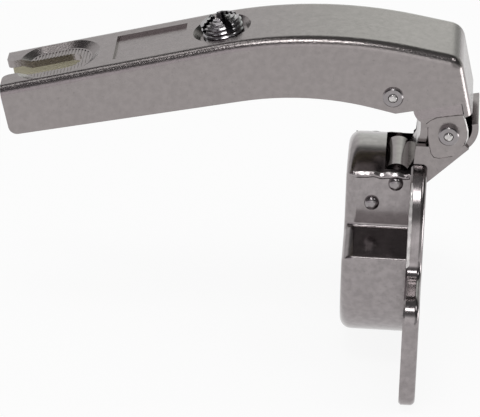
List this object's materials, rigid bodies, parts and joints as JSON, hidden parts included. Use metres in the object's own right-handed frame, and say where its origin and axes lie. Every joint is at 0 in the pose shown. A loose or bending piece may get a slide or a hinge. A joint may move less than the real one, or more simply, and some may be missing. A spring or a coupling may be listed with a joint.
{
  "type": "blind corner hinge",
  "caption": "Concealed cabinet hinge for a blind corner: a cranked slide-on arm, a sprung pivoting linkage and a drawn boring cup with screw wings.",
  "frame": {"origin": "the cup's centre on the back of its flange, in the plane that lies on the door", "axes": "+X out of the cup's mouth, +Z towards the edge of the door that the arm stands at, Y along the pivots; the hinge is stored with the door fully open"},
  "size_m": [0.0829, 0.0612, 0.0599],
  "materials": {
    "arm_plate": "satin nickel plate on folded steel sheet",
    "cup_plate": "bright nickel plate on drawn steel",
    "link_plate": "bright nickel plate on stamped steel",
    "rivet_steel": "bright plated steel pins and rivets",
    "screw_steel": "bright plated steel, threaded",
    "spring_steel": "drawn spring wire",
    "sleeve_plastic": "dark moulded sleeve"
  },
  "bodies": {
    "arm": {"hinge_arm": "arm_plate", "front_arm_pin": "rivet_steel", "rear_arm_pin": "rivet_steel"},
    "adjuster": {"side_adjusting_screw": "screw_steel"},
    "outer_link": {"outer_link": "link_plate", "closing_spring": "spring_steel", "spring_sleeve": "sleeve_plastic"},
    "cup": {"hinge_cup": "cup_plate", "rear_cup_pin": "rivet_steel", "front_cup_pin": "rivet_steel"},
    "inner_link": {"inner_link": "link_plate"}
  },
  "joints": [
    {"name": "outer_link_swing", "type": "hinge", "parent": "arm", "child": "outer_link", "pos_m": [0.00612, 0, 0.02413], "axis": [0, -1, 0], "range_deg": [-23.57, 0]},
    {"name": "cup_swing", "type": "hinge", "parent": "outer_link", "child": "cup", "pos_m": [-0.00655, 0, 0.00995], "axis": [0, -1, 0], "range_deg": [0, 126.17]},
    {"name": "inner_link_swing", "type": "hinge", "parent": "cup", "child": "inner_link", "pos_m": [-0.00253, 0, 0.01393], "axis": [0, -1, 0], "range_deg": [-154.45, 0]},
    {"name": "side_adjuster_turn", "type": "hinge", "parent": "arm", "child": "adjuster", "pos_m": [-0.03381, 0, 0.03805], "axis": [-0.2602, 0, 0.9656], "range_deg": [-180, 180]}
  ],
  "couplings": [
    {"joint": "outer_link_swing", "follows": "cup_swing", "ratio": -0.18682},
    {"joint": "inner_link_swing", "follows": "cup_swing", "ratio": -1.2241}
  ]
}
